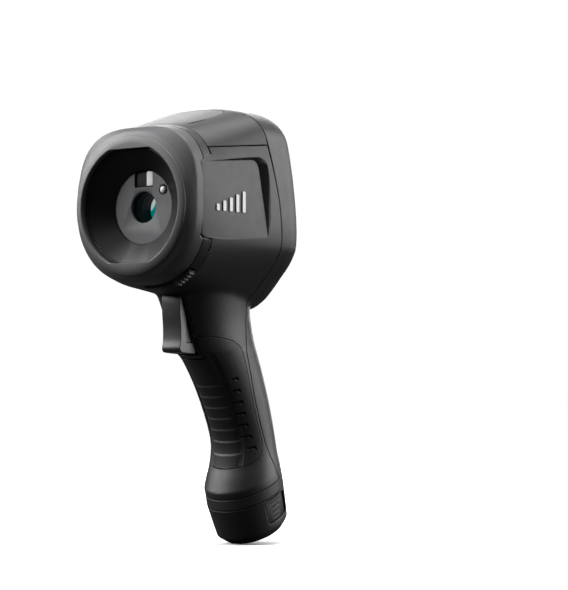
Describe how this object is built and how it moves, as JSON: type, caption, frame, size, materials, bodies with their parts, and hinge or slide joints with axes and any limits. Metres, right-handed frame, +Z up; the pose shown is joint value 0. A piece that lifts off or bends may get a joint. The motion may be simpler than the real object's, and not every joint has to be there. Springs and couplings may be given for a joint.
{
  "type": "thermal imaging camera",
  "caption": "Hand-held thermal imaging camera with a hooded lens, rear display and keypad, trigger, ribbed slanted handle and slide-out battery foot.",
  "frame": {"origin": "middle of the underside of the bounding box, with the lens axis level", "axes": "-Y is the way the lens looks, +Y the display side, +Z up, +X to the right when seen from the lens side"},
  "size_m": [0.098, 0.1334, 0.2485],
  "materials": {
    "housing_plastic": "charcoal moulded plastic with a fine spark texture",
    "bumper_rubber": "mid-grey smooth rubber bumper",
    "grip_rubber": "black ribbed soft overmould",
    "gloss_black": "polished black moulding",
    "satin_plate": "satin mid-grey plate",
    "button_plastic": "soft-touch dark grey keys",
    "infrared_glass": "coated infrared lens with a teal reflection",
    "lamp_dome": "milky white lamp dome",
    "display_glass": "dark hard-coated display window",
    "lcd_picture": null,
    "steel": "plain steel",
    "sensor_metal": "bead-blasted aluminium",
    "circuit_board": "green printed circuit board",
    "cell_wrap": "wrapped lithium cells"
  },
  "bodies": {
    "housing": {"main_housing": "housing_plastic", "rear_cover": "housing_plastic", "top_cover": "housing_plastic", "front_collar": "housing_plastic", "front_bezel": "bumper_rubber", "lens_funnel": "gloss_black", "face_plate": "satin_plate", "camera_window": "gloss_black", "visual_camera": "gloss_black", "lamp_ring": "gloss_black", "lamp_lens": "lamp_dome", "lens_barrel": "gloss_black", "ir_lens": "infrared_glass", "detector_module": "sensor_metal", "optics_carrier": "sensor_metal", "shutter_pin": "steel", "carrier_screw_1": "steel", "carrier_screw_2": "steel", "carrier_screw_3": "steel", "carrier_screw_4": "steel", "usb_socket": "steel", "rubber_grip": "grip_rubber", "display_gasket": "grip_rubber", "display_window": "display_glass", "lcd_module": "lcd_picture", "badge_plate": "satin_plate", "keypad_board": "circuit_board", "trigger_frame": "housing_plastic", "trigger_pin": "steel", "trigger_spring": "steel", "trigger_switch": "gloss_black", "main_board": "circuit_board", "battery_contacts": "gloss_black", "base_collar": "housing_plastic"},
    "trigger": {"trigger": "gloss_black"},
    "lens_lever": {"lens_cap_lever": "gloss_black"},
    "shutter": {"shutter_blade": "gloss_black"},
    "archive_key": {"archive_button": "button_plastic"},
    "cancel_key": {"cancel_button": "button_plastic"},
    "power_key": {"power_button": "button_plastic"},
    "center_key": {"center_button": "button_plastic"},
    "nav_rocker": {"nav_rocker_plate": "steel"},
    "nav_pad": {"nav_pad": "button_plastic"},
    "port_flap": {"port_cover": "bumper_rubber"},
    "battery": {"battery_cap": "housing_plastic", "battery_cell": "cell_wrap", "latch_left_spring": "steel", "latch_right_spring": "steel"},
    "latch_left": {"latch_left": "grip_rubber"},
    "latch_right": {"latch_right": "grip_rubber"}
  },
  "joints": [
    {"name": "trigger_pull", "type": "hinge", "parent": "housing", "child": "trigger", "pos_m": [0, -0.01975, 0.1415], "axis": [1, 0, 0], "range_deg": [0, 7], "stiffness_Nm_per_rad": 0.4},
    {"name": "lens_cover_turn", "type": "hinge", "parent": "housing", "child": "lens_lever", "pos_m": [0, -0.04975, 0.1895], "axis": [0, 1, 0], "range_deg": [0, 27]},
    {"name": "shutter_swing", "type": "hinge", "parent": "housing", "child": "shutter", "pos_m": [0.0038, -0.05135, 0.175], "axis": [0, 1, 0], "range_deg": [0, 81]},
    {"name": "archive_press", "type": "slide", "parent": "housing", "child": "archive_key", "axis": [0, -0.9848, -0.1736], "range_m": [0, 0.0008], "stiffness_N_per_m": 1500},
    {"name": "cancel_press", "type": "slide", "parent": "housing", "child": "cancel_key", "axis": [0, -0.9848, -0.1736], "range_m": [0, 0.0008], "stiffness_N_per_m": 1500},
    {"name": "power_press", "type": "slide", "parent": "housing", "child": "power_key", "axis": [0, -0.9848, -0.1736], "range_m": [0, 0.0008], "stiffness_N_per_m": 1500},
    {"name": "center_press", "type": "slide", "parent": "housing", "child": "center_key", "axis": [0, -0.9848, -0.1736], "range_m": [0, 0.0008], "stiffness_N_per_m": 1500},
    {"name": "nav_left_right", "type": "hinge", "parent": "housing", "child": "nav_rocker", "pos_m": [0, 0.02171, 0.15801], "axis": [0, -0.1736, 0.9848], "range_deg": [-3, 3], "stiffness_Nm_per_rad": 0.2},
    {"name": "nav_up_down", "type": "hinge", "parent": "nav_rocker", "child": "nav_pad", "pos_m": [0, 0.02299, 0.15824], "axis": [1, 0, 0], "range_deg": [-3, 3], "stiffness_Nm_per_rad": 0.2},
    {"name": "port_cover_open", "type": "hinge", "parent": "housing", "child": "port_flap", "pos_m": [0, -0.00905, 0.2476], "axis": [-1, 0, 0], "range_deg": [0, 100]},
    {"name": "battery_slide", "type": "slide", "parent": "housing", "child": "battery", "axis": [0, 0.3987, -0.9171], "range_m": [0, 0.08]},
    {"name": "latch_left_press", "type": "slide", "parent": "battery", "child": "latch_left", "axis": [1, 0, 0], "range_m": [0, 0.0012], "stiffness_N_per_m": 1200, "deforming": ["latch_left_spring"]},
    {"name": "latch_right_press", "type": "slide", "parent": "battery", "child": "latch_right", "axis": [-1, 0, 0], "range_m": [0, 0.0012], "stiffness_N_per_m": 1200, "deforming": ["latch_right_spring"]}
  ],
  "couplings": [
    {"joint": "shutter_swing", "follows": "lens_cover_turn", "ratio": 3}
  ]
}
